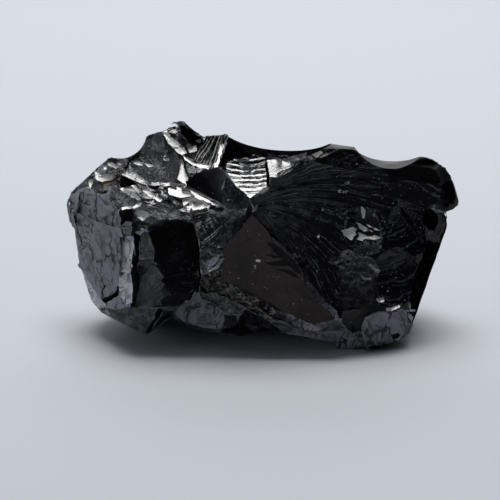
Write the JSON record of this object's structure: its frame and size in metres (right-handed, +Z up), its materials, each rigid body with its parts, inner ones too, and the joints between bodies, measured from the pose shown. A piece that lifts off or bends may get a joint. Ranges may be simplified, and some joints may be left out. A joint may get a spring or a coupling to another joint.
{
  "type": "shungite stone",
  "caption": "Rough lump of glassy black elite shungite with conchoidal fracture faces, resting on a flat underside.",
  "frame": {"origin": "centre of the bounding box's bottom face, on the floor", "axes": "+Z up; +X along the stone's length, from its left end to its right end as seen from the show face; the show face looks to -Y and is tipped back"},
  "size_m": [0.0498, 0.0248, 0.0267],
  "materials": {
    "shungite": "near-black natural stone, glassy where it broke, dusty grey on the old faces"
  },
  "bodies": {
    "root": {"shungite_stone": "shungite"}
  },
  "joints": []
}
